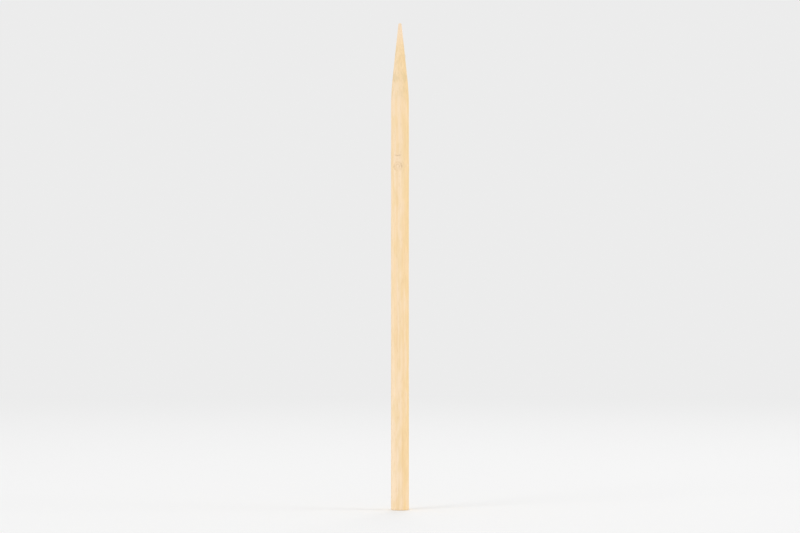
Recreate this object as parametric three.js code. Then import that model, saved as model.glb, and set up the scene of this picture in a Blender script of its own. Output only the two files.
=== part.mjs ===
// A round bamboo skewer, standing on its sawn butt with the point up.
// Millimetres, +Z up, origin at the middle of the butt's flat face.
// It is one piece of bamboo: a strip of the cane's wall, moulded into a round rod, cut square at the butt,
// ground to a point while it rolls against a belt, and tumbled, which eases its edge.
// The pith side is the side that faced the hollow of the cane, and the skin side is opposite.

import * as THREE from "three";
import { mergeVertices } from "three/addons/utils/BufferGeometryUtils.js";

// The rod
const LENGTH = 150;
const DIAMETER = 5.5;
const BUTT_EDGE_RADIUS = 0.25;

// The point, from its rounded end down to the shoulder, where a long arc leads into the rod
const POINT_HALF_ANGLE = THREE.MathUtils.degToRad(6.1);
const POINT_END_RADIUS = 0.5;
const SHOULDER_RADIUS = 83;

// The node, the cane's joint: a low swelling, a little higher on the skin side
const NODE_BELOW_POINT = 43.3;
const NODE_SPREAD = 2.6;
const NODE_RISE_SKIN_SIDE = 0.08;
const NODE_RISE_PITH_SIDE = 0.03;
const PITH_SIDE_FROM_FRONT = THREE.MathUtils.degToRad(-45);

// The node's mark, a little to the left of the front: a short sagging scar, and below it the oval groove
// round the eye of a bud
const MARK_FROM_FRONT = THREE.MathUtils.degToRad(-24);
const SCAR_ABOVE_NODE = 2.4;
const SCAR_LENGTH = 1.9;
const SCAR_THICKNESS = 0.5;
const SCAR_DEPTH = 0.07;
const SCAR_SAG = 0.2;
const EYE_BELOW_NODE = 0.9;
const EYE_LENGTH = 2.9;
const EYE_WIDTH = 2.5;
const EYE_GROOVE_WIDTH = 0.5;
const EYE_GROOVE_DEPTH = 0.05;

// How finely the round stretches are divided
const SIDES = 48;
const EDGE_STEPS = 4;
const NODE_STEPS = 36;
const SHOULDER_STEPS = 12;
const CONE_STEPS = 6;
const POINT_END_STEPS = 5;
const NODE_REACH = 3 * NODE_SPREAD;

const BAMBOO = new THREE.MeshStandardMaterial({ color: 0xf1d9b0, roughness: 0.62, metalness: 0 });

// Heights along the axis, and the radius, that the profile and the node share.
function stations() {
  const radius = DIAMETER / 2;
  const endCentre = LENGTH - POINT_END_RADIUS;
  const coneTop = new THREE.Vector2(
    POINT_END_RADIUS * Math.cos(POINT_HALF_ANGLE),
    endCentre + POINT_END_RADIUS * Math.sin(POINT_HALF_ANGLE),
  );
  const coneMeetsRod = coneTop.y - (radius - coneTop.x) / Math.tan(POINT_HALF_ANGLE);
  const shoulderStart = coneMeetsRod - SHOULDER_RADIUS * Math.tan(POINT_HALF_ANGLE / 2);
  const nodeHeight = LENGTH - NODE_BELOW_POINT;
  return { radius, endCentre, coneTop, shoulderStart, nodeHeight };
}

// An arc in the half section, where x is the radius and y the height.
function arc(centreX, centreY, r, from, to, steps) {
  return Array.from({ length: steps + 1 }, (_, i) => {
    const angle = THREE.MathUtils.lerp(from, to, i / steps);
    return new THREE.Vector2(centreX + r * Math.cos(angle), centreY + r * Math.sin(angle));
  });
}

// Rings over the node, closer together at its middle, where its mark is.
function nodeRings({ radius, nodeHeight }) {
  return Array.from({ length: NODE_STEPS + 1 }, (_, i) => {
    const t = (2 * i) / NODE_STEPS - 1;
    const closerInTheMiddle = 0.55 * t + 0.45 * t ** 3;
    return new THREE.Vector2(radius, nodeHeight + NODE_REACH * closerInTheMiddle);
  });
}

// The half section from the middle of the butt up to the end of the point.
function profile(at) {
  const eased = BUTT_EDGE_RADIUS;
  const butt = arc(at.radius - eased, eased, eased, -Math.PI / 2, 0, EDGE_STEPS);
  const bend = at.radius - SHOULDER_RADIUS;
  const shoulder = arc(bend, at.shoulderStart, SHOULDER_RADIUS, 0, POINT_HALF_ANGLE, SHOULDER_STEPS);
  const coneFoot = shoulder[shoulder.length - 1];
  const cone = Array.from({ length: CONE_STEPS - 1 }, (_, i) =>
    new THREE.Vector2().lerpVectors(coneFoot, at.coneTop, (i + 1) / CONE_STEPS));
  const end = arc(0, at.endCentre, POINT_END_RADIUS, POINT_HALF_ANGLE, Math.PI / 2, POINT_END_STEPS);
  end[end.length - 1].x = 0;
  return [new THREE.Vector2(0, 0), ...butt, ...nodeRings(at), ...shoulder, ...cone, ...end];
}

// How deep the scar is at one place: across is measured round the rod from its middle, and up along the rod.
function scar(across, up) {
  const outward = across / (SCAR_LENGTH / 2);
  const offLine = (up - SCAR_SAG * outward ** 2) / (SCAR_THICKNESS / 2);
  return SCAR_DEPTH * Math.exp(-(outward ** 4)) * Math.exp(-(offLine ** 2));
}

// How deep the groove round the eye is, measured in the same way from the eye's middle.
function eye(across, up) {
  const halfWidth = EYE_WIDTH / 2;
  const outward = Math.hypot(across / halfWidth, up / (EYE_LENGTH / 2));
  const offGroove = ((outward - 1) * halfWidth) / (EYE_GROOVE_WIDTH / 2);
  return EYE_GROOVE_DEPTH * Math.exp(-(offGroove ** 2));
}

// The turn round the rod from one bearing to another, from -180 to 180 degrees.
function turnBetween(from, to) {
  return Math.atan2(Math.sin(to - from), Math.cos(to - from));
}

// How far the node lifts the surface at a bearing, which is measured round the rod from the front.
function nodeLift(bearing, up, radius) {
  const skinSide = (1 - Math.cos(bearing - PITH_SIDE_FROM_FRONT)) / 2;
  const rise = THREE.MathUtils.lerp(NODE_RISE_PITH_SIDE, NODE_RISE_SKIN_SIDE, skinSide);
  const swelling = rise * Math.exp(-((up / NODE_SPREAD) ** 2));
  const across = turnBetween(MARK_FROM_FRONT, bearing) * radius;
  return swelling - scar(across, up - SCAR_ABOVE_NODE) - eye(across, up + EYE_BELOW_NODE);
}

// Turns the profile round the axis and lifts the surface at the node.
function skewerGeometry() {
  const at = stations();
  const turned = new THREE.LatheGeometry(profile(at), SIDES);
  turned.rotateX(Math.PI / 2);
  turned.deleteAttribute("normal");
  turned.deleteAttribute("uv");
  const geometry = mergeVertices(turned, 1e-4);
  const place = geometry.getAttribute("position");
  for (let i = 0; i < place.count; i++) {
    const x = place.getX(i);
    const y = place.getY(i);
    const up = place.getZ(i) - at.nodeHeight;
    if (Math.abs(up) > NODE_REACH) continue;
    const stretch = 1 + nodeLift(Math.atan2(x, -y), up, at.radius) / at.radius;
    place.setXY(i, x * stretch, y * stretch);
  }
  geometry.computeVertexNormals();
  return geometry;
}

const part = new THREE.Group();
const skewer = new THREE.Mesh(skewerGeometry(), BAMBOO);
skewer.name = "skewer";
part.add(skewer);

export default part;
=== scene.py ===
"""A round bamboo skewer: a rod of moulded cane with a ground point, a node below it and a sawn butt."""

import math
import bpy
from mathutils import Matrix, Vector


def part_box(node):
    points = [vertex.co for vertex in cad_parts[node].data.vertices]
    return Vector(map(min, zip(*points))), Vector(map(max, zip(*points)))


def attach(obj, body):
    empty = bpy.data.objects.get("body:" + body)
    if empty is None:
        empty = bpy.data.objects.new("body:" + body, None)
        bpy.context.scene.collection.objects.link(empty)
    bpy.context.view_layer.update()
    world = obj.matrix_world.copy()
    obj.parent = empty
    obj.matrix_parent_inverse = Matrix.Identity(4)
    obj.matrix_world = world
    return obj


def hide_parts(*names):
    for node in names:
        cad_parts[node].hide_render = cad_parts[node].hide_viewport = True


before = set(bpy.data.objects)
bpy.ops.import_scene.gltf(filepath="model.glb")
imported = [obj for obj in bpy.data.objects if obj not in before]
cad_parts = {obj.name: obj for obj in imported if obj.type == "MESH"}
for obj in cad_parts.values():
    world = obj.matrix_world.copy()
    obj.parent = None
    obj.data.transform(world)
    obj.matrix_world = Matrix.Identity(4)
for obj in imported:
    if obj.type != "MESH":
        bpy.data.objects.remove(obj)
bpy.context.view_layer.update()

from types import SimpleNamespace

import bmesh
import bpy
from mathutils import Vector

# Sizes in metres: the length comes from the solid model, and the rest are the sizes that shape it
MM = 0.001
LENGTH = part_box("skewer")[1].z
RADIUS = 2.75 * MM
BUTT_EDGE_RADIUS = 0.25 * MM
POINT_HALF_ANGLE = math.radians(6.1)
POINT_END_RADIUS = 0.5 * MM
SHOULDER_RADIUS = 83 * MM
NODE_BELOW_POINT = 43.3 * MM
NODE_SPREAD = 2.6 * MM
NODE_RISE_SKIN_SIDE = 0.08 * MM
NODE_RISE_PITH_SIDE = 0.03 * MM
PITH_SIDE_FROM_FRONT = math.radians(-45)

# The node's mark: a short sagging scar, and below it the oval groove round the eye of a bud
MARK_FROM_FRONT = math.radians(-24)
SCAR_ABOVE_NODE = 2.4 * MM
SCAR_LENGTH = 1.9 * MM
SCAR_THICKNESS = 0.5 * MM
SCAR_DEPTH = 0.07 * MM
SCAR_SAG = 0.2 * MM
EYE_BELOW_NODE = 0.9 * MM
EYE_LENGTH = 2.9 * MM
EYE_WIDTH = 2.5 * MM
EYE_GROOVE_WIDTH = 0.5 * MM
EYE_GROOVE_DEPTH = 0.05 * MM

# How finely the rod's mesh is divided: round it, along each stretch from the butt up, and across the butt
SIDES = 180
EDGE_STEPS = 5
RINGS_BELOW_NODE = 99
RINGS_AT_NODE = 110
RINGS_ABOVE_NODE = 12
SHOULDER_STEPS = 24
RINGS_ON_CONE = 45
POINT_END_STEPS = 6
BUTT_RINGS = 8

# Heights that differ by less than this count as the same, and edges bent by more than this look sharp
HEIGHT_SLACK = 0.001 * MM
SHARP_EDGE = math.radians(40)

# How far fibres and the saw leave the surface uneven, with the size of their grain along X, Y and Z
FIBRE_RELIEF = 0.05 * MM
FIBRE_GRAIN = (0.3 * MM, 0.3 * MM, 14 * MM)
SAW_RELIEF = 0.05 * MM
SAW_GRAIN = (0.2 * MM, 0.9 * MM, 1 * MM)

# Where the stretches of the rod meet, worked out from the sizes
END_CENTRE = LENGTH - POINT_END_RADIUS
CONE_TOP_RADIUS = POINT_END_RADIUS * math.cos(POINT_HALF_ANGLE)
CONE_TOP = END_CENTRE + POINT_END_RADIUS * math.sin(POINT_HALF_ANGLE)
CONE_MEETS_ROD = CONE_TOP - (RADIUS - CONE_TOP_RADIUS) / math.tan(POINT_HALF_ANGLE)
SHOULDER_START = CONE_MEETS_ROD - SHOULDER_RADIUS * math.tan(POINT_HALF_ANGLE / 2)
CONE_START = SHOULDER_START + SHOULDER_RADIUS * math.sin(POINT_HALF_ANGLE)
NODE_HEIGHT = LENGTH - NODE_BELOW_POINT
NODE_REACH = 3 * NODE_SPREAD


# Selecting

def select_nothing():
    if bpy.context.object and bpy.context.object.mode != "OBJECT":
        bpy.ops.object.mode_set(mode="OBJECT")
    bpy.ops.object.select_all(action="DESELECT")


def select_faces(piece, wanted):
    """In edit mode, selects just the faces that wanted() picks."""
    bpy.context.tool_settings.mesh_select_mode = (False, False, True)
    shape = bmesh.from_edit_mesh(piece.data)
    for face in shape.faces:
        face.select = wanted(face)
    shape.select_flush_mode()
    bmesh.update_edit_mesh(piece.data)


def select_edges(piece, wanted):
    """In edit mode, selects just the edges that wanted() picks."""
    bpy.ops.mesh.select_all(action="DESELECT")
    bpy.context.tool_settings.mesh_select_mode = (False, True, False)
    shape = bmesh.from_edit_mesh(piece.data)
    for edge in shape.edges:
        if wanted(edge):
            edge.select = True
    shape.select_flush_mode()
    bmesh.update_edit_mesh(piece.data)


# The rod

def arc(centre_r, centre_z, r, start, end, steps):
    """Points of an arc in the half section, as radius and height, without its first point."""
    angles = [start + (end - start) * i / steps for i in range(1, steps + 1)]
    return [(centre_r + r * math.cos(a), centre_z + r * math.sin(a)) for a in angles]


def rod_profile():
    """The half section above the butt's flat face, as radius and height, without the point's very end."""
    eased = BUTT_EDGE_RADIUS
    profile = arc(RADIUS - eased, eased, eased, -math.pi / 2, 0, EDGE_STEPS)
    profile += [(RADIUS, NODE_HEIGHT - NODE_REACH), (RADIUS, NODE_HEIGHT + NODE_REACH)]
    profile.append((RADIUS, SHOULDER_START))
    bend = RADIUS - SHOULDER_RADIUS
    profile += arc(bend, SHOULDER_START, SHOULDER_RADIUS, 0, POINT_HALF_ANGLE, SHOULDER_STEPS)
    profile.append((CONE_TOP_RADIUS, CONE_TOP))
    end = arc(0, END_CENTRE, POINT_END_RADIUS, POINT_HALF_ANGLE, math.pi / 2, POINT_END_STEPS)
    return profile + end[:-1]


def extrude_to(profile, radius, height):
    """Extrudes the selected round face up through each point of the profile."""
    for next_radius, next_height in profile:
        bpy.ops.mesh.extrude_region_move(TRANSFORM_OT_translate={"value": (0, 0, next_height - height)})
        size = next_radius / radius
        bpy.ops.transform.resize(value=(size, size, 1), center_override=(0, 0, 0))
        radius, height = next_radius, next_height


def close_point(height):
    """Draws the last small face up to a single point."""
    bpy.ops.mesh.extrude_region_move(TRANSFORM_OT_translate={"value": (0, 0, LENGTH - height)})
    bpy.ops.mesh.merge(type="COLLAPSE")


def cut_rings(piece, low, high, rings):
    """Divides each upright edge between two heights, which adds that many rings there."""
    shortest = 0.05 * MM

    def upright(edge):
        foot, top = sorted(vertex.co.z for vertex in edge.verts)
        return top - foot > shortest and low - HEIGHT_SLACK <= foot and top <= high + HEIGHT_SLACK

    select_edges(piece, upright)
    bpy.ops.mesh.subdivide(number_cuts=rings)


def ring_the_butt(piece):
    """Gives the sawn face rings of its own round a small middle, so that it can carry the saw's marks."""
    middle_in_rings = 0.6
    ring_width = (RADIUS - BUTT_EDGE_RADIUS) / (BUTT_RINGS + middle_in_rings)

    def sawn(face):
        return face.calc_center_median().z < HEIGHT_SLACK and len(face.verts) == SIDES

    select_faces(piece, sawn)
    for _ in range(BUTT_RINGS):
        bpy.ops.mesh.inset(thickness=ring_width)
    bpy.ops.mesh.poke()


def turn_from(place, middle):
    """The angle round the rod from the bearing called middle, which is measured from the front."""
    turn = math.atan2(place.x, -place.y) - middle
    return math.atan2(math.sin(turn), math.cos(turn))


def node_swelling(place):
    """The share of the skin side's rise that the node has at a place."""
    up = place.z - NODE_HEIGHT
    skin_side = (1 - math.cos(turn_from(place, PITH_SIDE_FROM_FRONT))) / 2
    rise = NODE_RISE_PITH_SIDE + (NODE_RISE_SKIN_SIDE - NODE_RISE_PITH_SIDE) * skin_side
    return rise / NODE_RISE_SKIN_SIDE * math.exp(-((up / NODE_SPREAD) ** 2))


def node_scar(place):
    """The share of its depth that the scar has at a place."""
    outward = turn_from(place, MARK_FROM_FRONT) * RADIUS / (SCAR_LENGTH / 2)
    up = place.z - NODE_HEIGHT - SCAR_ABOVE_NODE
    off_line = (up - SCAR_SAG * outward ** 2) / (SCAR_THICKNESS / 2)
    return math.exp(-(outward ** 4)) * math.exp(-(off_line ** 2))


def node_eye(place):
    """The share of its depth that the groove round the eye has at a place."""
    across = turn_from(place, MARK_FROM_FRONT) * RADIUS
    up = place.z - NODE_HEIGHT + EYE_BELOW_NODE
    outward = math.hypot(across / (EYE_WIDTH / 2), up / (EYE_LENGTH / 2))
    off_groove = (outward - 1) * (EYE_WIDTH / 2) / (EYE_GROOVE_WIDTH / 2)
    return math.exp(-(off_groove ** 2))


def on_the_side(place):
    """1 on the rod's side, less at the butt, and less up the point, where the relief would be too deep."""
    share_at_butt = 0.3
    if place.z < BUTT_EDGE_RADIUS:
        return share_at_butt
    return min(1, math.hypot(place.x, place.y) / RADIUS)


def on_the_butt(place):
    """1 on the sawn face and the foot of its eased edge, which the fibres' relief has already moved a
    little, and 0 above them."""
    highest = 0.02 * MM
    return 1 if place.z < highest else 0


def raise_by(piece, name, weight, height, grain=None, mid_level=0, direction="NORMAL"):
    """Lifts the surface by height, times what weight() says at each vertex. With a grain, a clouded pattern
    of that size along X, Y and Z decides how much of the lift each spot gets."""
    least = 0.002
    group = piece.vertex_groups.new(name=name)
    for vertex in piece.data.vertices:
        share = weight(vertex.co)
        if share > least:
            group.add([vertex.index], share, "REPLACE")
    lift = piece.modifiers.new(name, "DISPLACE")
    lift.vertex_group = group.name
    lift.strength = height
    lift.mid_level = mid_level
    lift.direction = direction
    if grain:
        bpy.ops.object.empty_add()
        ruler = bpy.context.object
        ruler.scale = grain
        pattern = bpy.data.textures.new(name, "CLOUDS")
        pattern.noise_scale = 1
        pattern.noise_depth = 2
        lift.texture = pattern
        lift.texture_coords = "OBJECT"
        lift.texture_coords_object = ruler
        bpy.context.view_layer.update()
        bpy.context.view_layer.objects.active = piece
    bpy.ops.object.modifier_apply(modifier=lift.name)
    piece.vertex_groups.remove(piece.vertex_groups[name])
    if grain:
        bpy.data.objects.remove(ruler)


def make_rod():
    """Draws the rod up ring by ring from its round butt, then gives it its node, its relief and its saw
    marks."""
    select_nothing()
    butt_radius = RADIUS - BUTT_EDGE_RADIUS
    bpy.ops.mesh.primitive_circle_add(vertices=SIDES, radius=butt_radius, fill_type="NGON")
    rod = bpy.context.object
    rod.name = "bamboo_rod"
    bpy.ops.object.mode_set(mode="EDIT")
    bpy.context.tool_settings.mesh_select_mode = (False, False, True)
    bpy.ops.mesh.select_all(action="SELECT")
    profile = rod_profile()
    extrude_to(profile, butt_radius, 0)
    close_point(profile[-1][1])
    cut_rings(rod, BUTT_EDGE_RADIUS, NODE_HEIGHT - NODE_REACH, RINGS_BELOW_NODE)
    cut_rings(rod, NODE_HEIGHT - NODE_REACH, NODE_HEIGHT + NODE_REACH, RINGS_AT_NODE)
    cut_rings(rod, NODE_HEIGHT + NODE_REACH, SHOULDER_START, RINGS_ABOVE_NODE)
    cut_rings(rod, CONE_START, CONE_TOP, RINGS_ON_CONE)
    ring_the_butt(rod)
    bpy.ops.mesh.select_all(action="SELECT")
    bpy.ops.mesh.normals_make_consistent(inside=False)
    bpy.ops.object.mode_set(mode="OBJECT")
    raise_by(rod, "node_swelling", node_swelling, NODE_RISE_SKIN_SIDE)
    raise_by(rod, "node_scar", node_scar, -SCAR_DEPTH)
    raise_by(rod, "node_eye", node_eye, -EYE_GROOVE_DEPTH)
    raise_by(rod, "fibre_relief", on_the_side, FIBRE_RELIEF, grain=FIBRE_GRAIN, mid_level=0.5)
    raise_by(rod, "saw_relief", on_the_butt, SAW_RELIEF, grain=SAW_GRAIN, direction="Z")
    bpy.ops.object.shade_smooth_by_angle(angle=SHARP_EDGE)
    return rod


# The lifted fibres

def profile_radius(height):
    """The rod's radius at a height up to the top of the cone."""
    if height <= SHOULDER_START:
        return RADIUS
    if height <= CONE_START:
        return RADIUS - SHOULDER_RADIUS + math.sqrt(SHOULDER_RADIUS ** 2 - (height - SHOULDER_START) ** 2)
    return CONE_TOP_RADIUS + (CONE_TOP - height) * math.tan(POINT_HALF_ANGLE)


def lift_fibre(height, bearing, length, lift, thickness):
    """Makes one sliver that the grinding or the saw has raised. Its root is in the surface, and it curves
    outwards and thins towards its free end."""
    select_nothing()
    sunk = 0.04 * MM
    sides = 6
    steps = 6
    thinning = 0.9
    last_thinning = 0.35
    turn = math.radians(bearing)
    out = Vector((math.sin(turn), -math.cos(turn), 0))
    root = out * (profile_radius(height) - sunk) + Vector((0, 0, height))
    bpy.ops.mesh.primitive_circle_add(vertices=sides, radius=thickness / 2, fill_type="NGON", location=root)
    fibre = bpy.context.object
    bpy.ops.object.transform_apply(location=True, rotation=False, scale=False)
    bpy.ops.object.mode_set(mode="EDIT")
    bpy.ops.mesh.select_all(action="SELECT")
    lean = (profile_radius(height + length) - profile_radius(height)) / steps
    place = root.copy()
    for i in range(1, steps + 1):
        rise = lift * (i ** 2 - (i - 1) ** 2) / steps ** 2
        move = out * (lean + rise) + Vector((0, 0, length / steps))
        place += move
        bpy.ops.mesh.extrude_region_move(TRANSFORM_OT_translate={"value": move})
        size = thinning if i < steps else last_thinning
        bpy.ops.transform.resize(value=(size, size, size), center_override=place)
    bpy.ops.mesh.select_all(action="SELECT")
    bpy.ops.mesh.normals_make_consistent(inside=False)
    bpy.ops.object.mode_set(mode="OBJECT")
    return fibre


def make_lifted_fibres():
    """Makes the few slivers and joins them. Each has its height above the butt, bearing from the front,
    length, lift and thickness, in millimetres and degrees."""
    slivers = [
        (138.6, 74, 1.9, 0.42, 0.09),
        (131.2, -58, 1.4, 0.16, 0.08),
        (127.4, 31, 1.7, 0.13, 0.07),
        (143.3, 160, 1.3, 0.20, 0.06),
        (126.1, -141, 1.6, 0.15, 0.08),
        (112.0, 128, 2.2, 0.12, 0.07),
        (64.5, -104, 2.6, 0.10, 0.07),
        (1.1, -22, 1.2, 0.12, 0.09),
        (0.7, 118, 1.0, 0.14, 0.08),
    ]
    fibres = []
    for height, bearing, length, lift, thickness in slivers:
        fibres.append(lift_fibre(height * MM, bearing, length * MM, lift * MM, thickness * MM))
    select_nothing()
    for fibre in fibres:
        fibre.select_set(True)
    bpy.context.view_layer.objects.active = fibres[0]
    bpy.ops.object.join()
    joined = bpy.context.object
    joined.name = "lifted_fibres"
    bpy.ops.object.shade_smooth()
    return joined


# Nodes of a finish

class Value:
    """What a finish works out at each point. Sums on it add their Math nodes."""

    def __init__(self, finish, socket):
        self.finish = finish
        self.socket = socket

    def __add__(self, other):
        return self.finish.maths("ADD", self, other)

    def __sub__(self, other):
        return self.finish.maths("SUBTRACT", self, other)

    def __rsub__(self, other):
        return self.finish.maths("SUBTRACT", other, self)

    def __mul__(self, other):
        return self.finish.maths("MULTIPLY", self, other)

    def __truediv__(self, other):
        return self.finish.maths("DIVIDE", self, other)

    __radd__ = __add__
    __rmul__ = __mul__


class Finish:
    """The nodes of a material, or of the air round the object."""

    def __init__(self, owner):
        owner.use_nodes = True
        self.owner = owner
        self.tree = owner.node_tree

    def node(self, kind, settings, sockets, output=0):
        """Adds a node, sets it up, then fills its sockets with values or links."""
        made = self.tree.nodes.new(kind)
        for name, value in settings.items():
            setattr(made, name, value)
        named = sockets.items() if isinstance(sockets, dict) else enumerate(sockets)
        for key, value in named:
            self.feed(made.inputs[key], value)
        return Value(self, made.outputs[output])

    def feed(self, socket, value):
        if isinstance(value, Value):
            self.tree.links.new(value.socket, socket)
        else:
            socket.default_value = value

    def feed_node(self, node, sockets):
        """Feeds a node that is there from the start, such as the shader."""
        for name, value in sockets.items():
            self.feed(self.tree.nodes[node].inputs[name], value)

    def maths(self, operation, *numbers):
        return self.node("ShaderNodeMath", {"operation": operation}, numbers)

    def vector(self, operation, *vectors):
        return self.node("ShaderNodeVectorMath", {"operation": operation}, vectors)

    def scaled(self, vector, size):
        return self.node("ShaderNodeVectorMath", {"operation": "SCALE"}, {"Vector": vector, "Scale": size})

    def along(self, place, direction):
        """How far a place lies in a direction."""
        return self.node("ShaderNodeVectorMath", {"operation": "DOT_PRODUCT"}, [place, direction], "Value")

    def ease(self, value, low, high):
        """Goes smoothly from 0 at low to 1 at high, which may be the smaller number."""
        settings = {"interpolation_type": "SMOOTHSTEP"}
        return self.node("ShaderNodeMapRange", settings, [value, low, high, 0, 1])

    def bell(self, value):
        """1 where the value is 0, and falling off to nothing by about 2 on either side."""
        return self.maths("EXPONENT", 0 - value * value)

    def noise(self, place, size, detail=2, roughness=0.5, output=0):
        """Soft blotches of a size in millimetres, across the cane and along it."""
        across, along = size
        grains = self.vector("MULTIPLY", place, (1 / across, 1 / across, 1 / along))
        sockets = {"Vector": grains, "Scale": 1, "Detail": detail, "Roughness": roughness}
        return self.node("ShaderNodeTexNoise", {}, sockets, output)

    def drift(self, place, size, reach):
        """A slow wander of that size, by up to half of reach either way, square to the cane."""
        wander = self.noise(place, size, 1, 0.5, "Color")
        wander = self.vector("SUBTRACT", wander, (0.5, 0.5, 0.5))
        return self.scaled(self.vector("MULTIPLY", wander, (1, 1, 0)), reach)

    def bundles(self, grain, size, shift):
        """The dark fibre bundles, which run along the cane and show as dots on a cut across it. Each has a
        darkness of its own."""
        cells = self.vector("ADD", self.vector("MULTIPLY", grain, (1 / size, 1 / size, 1)), shift)
        sockets = {"Vector": cells, "Scale": 1, "Randomness": 0.8}
        flat = {"voronoi_dimensions": "2D"}
        from_middle = self.node("ShaderNodeTexVoronoi", flat, sockets, "Distance")
        own_colour = self.node("ShaderNodeTexVoronoi", flat, sockets, "Color")
        darkness = self.node("ShaderNodeSeparateColor", {}, [own_colour], 0)
        return (1 - self.ease(from_middle, 0.12, 0.36)) * (0.35 + darkness * 0.65)

    def mix(self, share, first, second):
        """Mixes two colours: the factor is socket 0, and the colours are 6 and 7."""
        return self.node("ShaderNodeMix", {"data_type": "RGBA"}, {0: share, 6: first, 7: second}, 2)


def srgb(red, green, blue):
    """A colour as it is seen, from 0 to 255, as the shader wants it."""
    def straight(level):
        level /= 255
        return level / 12.92 if level <= 0.04045 else ((level + 0.055) / 1.055) ** 2.4
    return (straight(red), straight(green), straight(blue), 1)


# Tones of the cane: the two sides of its wall, then what varies between them
PITH_SIDE = srgb(255, 233, 206)
SKIN_SIDE = srgb(252, 217, 154)
CLOUD = srgb(254, 224, 178)
PALE_PATCH = srgb(255, 229, 196)
DEEP_PATCH = srgb(246, 217, 166)
BAND = srgb(250, 214, 156)
STREAK = srgb(244, 208, 152)
FLECK = srgb(236, 203, 154)
THREAD = srgb(234, 198, 146)
FIBRE_BUNDLE = srgb(216, 170, 110)

# Tones of the ground cone, whose spots differ a little between the two sides
DULL_SPOT_PITH_SIDE = srgb(234, 212, 176)
DULL_SPOT_SKIN_SIDE = srgb(237, 207, 150)
PALE_SPOT_PITH_SIDE = srgb(253, 231, 203)
PALE_SPOT_SKIN_SIDE = srgb(253, 220, 164)
DULLER_STRETCH = srgb(222, 196, 156)
PALE_TIP = srgb(253, 227, 202)

# Tones of the node's mark and of the sawn end
PALE_ROUND_MARK = srgb(255, 231, 206)
SPECK = srgb(224, 192, 148)
EYE_GROOVE = srgb(202, 168, 124)
SCAR = srgb(198, 166, 132)
SAWN_END = srgb(226, 190, 140)


# The finish of the cane, with lengths in millimetres

def bearing_vectors(turn):
    """The direction out of the rod at a bearing from the front, and the one beside it."""
    return (math.sin(turn), -math.cos(turn), 0), (math.cos(turn), math.sin(turn), 0)


def find_mark(cane, place, up):
    """Where each point lies from the node's mark: across is measured round the rod, and beside straight
    across it. wide and tall are shares of the eye's half width and half length, and its groove is where
    from_eye is 1."""
    mark_out, mark_beside = bearing_vectors(MARK_FROM_FRONT)
    beside = cane.along(place, mark_beside)
    across = cane.maths("ARCTAN2", beside, cane.along(place, mark_out)) * (RADIUS / MM)
    wide = across / (EYE_WIDTH / MM / 2)
    tall = (up + EYE_BELOW_NODE / MM) / (EYE_LENGTH / MM / 2)
    from_eye = cane.maths("SQRT", wide * wide + tall * tall)
    return SimpleNamespace(up=up, beside=beside, across=across, wide=wide, tall=tall, from_eye=from_eye)


def follow_grain(cane, place, mark):
    """The place as the grain has it: it wanders a little, swirls at the node and parts round the eye."""
    _, mark_beside = bearing_vectors(MARK_FROM_FRONT)
    swirl = cane.scaled(cane.drift(place, (1.3, 1.9), 1.1), cane.bell(mark.up / 3.4))
    parting = cane.scaled(mark_beside, mark.beside * cane.bell(mark.from_eye * 0.75) * -0.45)
    grain = cane.vector("ADD", place, cane.drift(place, (5, 38), 1.1))
    return cane.vector("ADD", cane.vector("ADD", grain, swirl), parting)


def grow_fibres(cane, grain):
    """The cane's own patterns: fibre bundles, which are coarse and sparse towards the pith and fine and
    close towards the skin, fibres within and between them, flecks where they part, and slow changes of
    tone. skin_side goes from 0 on the pith side to 1 on the skin side."""
    pith_out, _ = bearing_vectors(PITH_SIDE_FROM_FRONT)
    skin_side = 1 - cane.ease(cane.along(grain, pith_out), -1.5, 3.9)
    coarse = cane.bundles(grain, 0.78, (3.1, 7.7, 0))
    fine = cane.bundles(grain, 0.42, (11.3, 2.9, 0))
    return SimpleNamespace(
        skin_side=skin_side,
        bundle=coarse * (1 - skin_side) + fine * skin_side,
        waning=cane.ease(cane.noise(grain, (0.8, 17), 1), 0.3, 0.62),
        band=cane.noise(grain, (1.1, 42), 1),
        streak=cane.noise(grain, (0.5, 22), 3, 0.55),
        thread=cane.noise(grain, (0.14, 6), 2, 0.6),
        fleck=cane.noise(grain, (0.36, 2.1)),
        cloud=cane.noise(grain, (2.4, 26)),
        patch=cane.noise(grain, (1.5, 6.5), 1),
    )


def find_ends(cane, place, height, up):
    """Where the cane is ground to the point and where it is sawn, with the spots and lines that this
    leaves. From the node to the point it is also a little duller, apart from the very tip."""
    lines_to_a_millimetre = (7, 0.7, 1)
    saw_cut = cane.vector("MULTIPLY", place, lines_to_a_millimetre)
    return SimpleNamespace(
        nearer_point=cane.ease(up, -12, 4),
        tip=cane.ease(height, LENGTH / MM - 9, LENGTH / MM - 1),
        ground=cane.ease(height, SHOULDER_START / MM + 1, SHOULDER_START / MM + 6),
        stipple=cane.noise(place, (0.5, 0.85), 2, 0.6),
        blotch=cane.noise(place, (1.5, 4.2), 1),
        sawn=1 - cane.ease(height, 0.03, 0.09),
        saw_line=cane.node("ShaderNodeTexNoise", {}, {"Vector": saw_cut, "Scale": 1}),
    )


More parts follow.
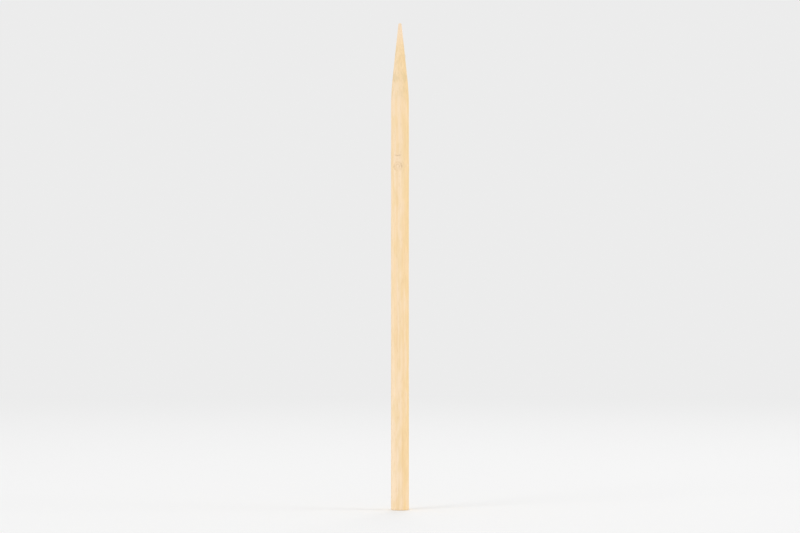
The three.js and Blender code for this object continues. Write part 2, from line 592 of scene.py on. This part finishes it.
def wear_mark(cane, place, grain, mark):
    """The scar, the eye's groove and a smaller oval inside it, broken up as worn marks are, with a pale
    patch and a few specks round them."""
    ragged = cane.ease(cane.noise(place, (0.45, 0.5), 1), 0.32, 0.62)
    outward = mark.across / (SCAR_LENGTH / MM / 2)
    scar_line = SCAR_ABOVE_NODE / MM + outward * outward * (SCAR_SAG / MM)
    off_scar = (mark.up - scar_line) / (SCAR_THICKNESS / MM / 2)
    off_groove = (mark.from_eye - 1) * (EYE_WIDTH / EYE_GROOVE_WIDTH)
    flanks = cane.bell((mark.tall - mark.wide * 0.2) / 0.65)
    upper_half = cane.ease(mark.tall, -0.5, 0.1)
    near_mark = cane.bell((mark.up + 1.3) / 3.4) * cane.bell(mark.across / 2.4)
    return SimpleNamespace(
        scar=cane.bell(off_scar * 1.3) * cane.bell(outward * outward) * (0.5 + ragged * 0.5),
        groove=cane.bell(off_groove * 1.2) * (0.06 + flanks * 0.94) * (0.35 + ragged * 0.65),
        inner_oval=cane.bell((mark.from_eye - 0.45) / 0.14) * (0.1 + ragged * 0.3 + upper_half * 0.6),
        pupil=cane.bell(mark.from_eye / 0.3),
        pale_patch=cane.bell((mark.up - 0.9) / 3.1) * cane.bell((mark.across - 0.1) / 1.15),
        specks=cane.ease(cane.noise(grain, (0.4, 0.95), 1), 0.56, 0.7) * near_mark,
    )


def tone_fibres(cane, fibre, ends):
    """The cane's own tone, with its bundles darkest where they are sawn across."""
    tone = cane.mix(fibre.skin_side, PITH_SIDE, SKIN_SIDE)
    tone = cane.mix(cane.ease(fibre.cloud, 0.35, 0.7) * 0.45, tone, CLOUD)
    tone = cane.mix(cane.ease(fibre.patch, 0.46, 0.66) * 0.6, tone, PALE_PATCH)
    tone = cane.mix(cane.ease(fibre.patch, 0.54, 0.34) * 0.55, tone, DEEP_PATCH)
    tone = cane.mix(cane.ease(fibre.band, 0.42, 0.66) * 0.4, tone, BAND)
    tone = cane.mix(cane.ease(fibre.streak, 0.45, 0.75) * 0.28, tone, STREAK)
    tone = cane.mix(cane.ease(fibre.fleck, 0.5, 0.75) * 0.4, tone, FLECK)
    tone = cane.mix(cane.ease(fibre.thread, 0.5, 0.8) * 0.28, tone, THREAD)
    return cane.mix(fibre.bundle * (0.05 + fibre.waning * 0.17 + ends.sawn * 0.55), tone, FIBRE_BUNDLE)


def tone_point(cane, tone, fibre, ends):
    """Mottles the ground cone with duller and paler spots of the tone that the cane has there, then dulls
    the upper cane a little and pales its tip."""
    dull_spot = cane.mix(fibre.skin_side, DULL_SPOT_PITH_SIDE, DULL_SPOT_SKIN_SIDE)
    pale_spot = cane.mix(fibre.skin_side, PALE_SPOT_PITH_SIDE, PALE_SPOT_SKIN_SIDE)
    tone = cane.mix(cane.ease(ends.stipple, 0.48, 0.66) * ends.ground * 0.6, tone, dull_spot)
    tone = cane.mix(cane.ease(ends.stipple, 0.46, 0.3) * ends.ground * 0.7, tone, pale_spot)
    tone = cane.mix(cane.ease(ends.blotch, 0.46, 0.64) * ends.ground * 0.75, tone, dull_spot)
    tone = cane.mix(cane.ease(ends.blotch, 0.5, 0.34) * ends.ground * 0.6, tone, pale_spot)
    tone = cane.mix(ends.nearer_point * 0.06 + ends.ground * 0.06, tone, DULLER_STRETCH)
    return cane.mix(ends.tip * 0.65, tone, PALE_TIP)


def tone_mark(cane, tone, worn):
    """Lays the node's mark over the tone."""
    tone = cane.mix(worn.pale_patch * 0.5 + worn.pupil * 0.25, tone, PALE_ROUND_MARK)
    tone = cane.mix(worn.specks * 0.45, tone, SPECK)
    tone = cane.mix(worn.groove * 0.72 + worn.inner_oval * 0.32, tone, EYE_GROOVE)
    return cane.mix(worn.scar * 0.66, tone, SCAR)


def bamboo_finish():
    """Bare moulded cane, worked out through the solid, so that what shows on the rod, the point and the
    sawn end are cuts through the same fibres."""
    cane = Finish(bpy.data.materials.new("bare_cane"))
    metres = cane.node("ShaderNodeTexCoord", {}, {}, "Object")
    place = cane.scaled(metres, 1 / MM)
    height = cane.node("ShaderNodeSeparateXYZ", {}, [place], "Z")
    up = height - NODE_HEIGHT / MM
    mark = find_mark(cane, place, up)
    grain = follow_grain(cane, place, mark)
    fibre = grow_fibres(cane, grain)
    ends = find_ends(cane, place, height, up)
    worn = wear_mark(cane, place, grain, mark)

    tone = tone_fibres(cane, fibre, ends)
    tone = tone_point(cane, tone, fibre, ends)
    tone = tone_mark(cane, tone, worn)
    tone = cane.mix(ends.sawn * (0.35 + ends.saw_line * 0.3), tone, SAWN_END)
    rough = 0.5 + fibre.thread * 0.18 + ends.ground * 0.1 + ends.sawn * 0.15
    relief = 0.5 * fibre.thread + 0.35 * fibre.streak + 0.25 * fibre.fleck
    relief = relief - 0.3 * fibre.bundle - 0.3 * worn.specks
    relief = relief + ends.stipple * ends.ground * 0.9 + ends.saw_line * ends.sawn * 0.8
    bump = cane.node("ShaderNodeBump", {}, {"Strength": 0.4, "Distance": 0.06 * MM, "Height": relief})
    look = {"Base Color": tone, "Roughness": rough, "Normal": bump, "Specular IOR Level": 0.35}
    cane.feed_node("Principled BSDF", look)
    return cane.owner


# The studio, in metres and watts

BACKGROUND = (0.84, 0.84, 0.84, 1)
AIR_LIGHT = (0.735, 0.735, 0.735, 1)
PAPER = (0.93, 0.93, 0.93, 1)
FLOOR_RADIUS = 6
FLOOR_SIDES = 96
LAMP_WIDTH = 1
MIDDLE = Vector((0, 0, LENGTH / 2))

# The camera looks at the middle of the object from this bearing and distance
CAMERA_FROM_FRONT = math.radians(-9)
CAMERA_AWAY = 1
LENS_MM = 146
SENSOR_WIDTH_MM = 36


def make_floor():
    """A wide sheet of pale paper. Away from the object the camera sees it fade into the background."""
    select_nothing()
    bpy.ops.mesh.primitive_circle_add(vertices=FLOOR_SIDES, radius=FLOOR_RADIUS, fill_type="NGON")
    floor = bpy.context.object
    floor.name = "studio_floor"
    paper = Finish(bpy.data.materials.new("studio_paper"))
    paper.feed_node("Principled BSDF", {"Base Color": PAPER, "Roughness": 0.9, "Specular IOR Level": 0.1})
    metres = paper.node("ShaderNodeTexCoord", {}, {}, "Object")
    away = paper.node("ShaderNodeVectorMath", {"operation": "LENGTH"}, [metres], "Value")
    seen = paper.node("ShaderNodeLightPath", {}, {}, "Is Camera Ray")
    bright = paper.node("ShaderNodeEmission", {}, {"Color": BACKGROUND, "Strength": 1})
    lit = Value(paper, paper.tree.nodes["Principled BSDF"].outputs[0])
    look = paper.node("ShaderNodeMixShader", {}, [seen * paper.ease(away, 0.15, 0.9), lit, bright])
    paper.feed_node("Material Output", {"Surface": look})
    floor.data.materials.append(paper.owner)


def make_lamp(name, place, power):
    """A round soft lamp that points at the middle of the object."""
    select_nothing()
    bpy.ops.object.light_add(type="AREA", location=place)
    lamp = bpy.context.object
    lamp.name = name
    lamp.data.shape = "DISK"
    lamp.data.size = LAMP_WIDTH
    lamp.data.energy = power
    lamp.rotation_euler = (MIDDLE - Vector(place)).to_track_quat("-Z", "Y").to_euler()


def make_air():
    """Even light from all round. Past the object the camera sees the background's tone in its place."""
    world = bpy.data.worlds.new("studio_air")
    bpy.context.scene.world = world
    air = Finish(world)
    seen = air.node("ShaderNodeLightPath", {}, {}, "Is Camera Ray")
    air.feed_node("Background", {"Color": air.mix(seen, AIR_LIGHT, BACKGROUND)})


def make_camera():
    """Level with the middle of the object and square to it, as the photograph was taken, and turned round
    the rod until the node's mark shows where it does there."""
    select_nothing()
    towards_camera, _ = bearing_vectors(CAMERA_FROM_FRONT)
    place = Vector(towards_camera) * CAMERA_AWAY + MIDDLE
    bpy.ops.object.camera_add(location=place, rotation=(math.pi / 2, 0, CAMERA_FROM_FRONT))
    camera = bpy.context.object
    camera.name = "studio_camera"
    camera.data.sensor_width = SENSOR_WIDTH_MM
    camera.data.lens = LENS_MM
    bpy.context.scene.camera = camera


make_camera()
bamboo = bamboo_finish()
rod = make_rod()
fibres = make_lifted_fibres()
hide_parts("skewer")
for piece in (rod, fibres):
    piece.data.materials.append(bamboo)
    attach(piece, "root")
make_floor()
make_lamp("key_lamp", (-1.5, -1.0, 1.1), 8.8)
make_lamp("fill_lamp", (1.6, -0.6, 0.8), 7.2)
make_lamp("back_lamp", (0.5, 1.7, 1.0), 6)
make_air()
bpy.context.scene.view_settings.view_transform = "Standard"
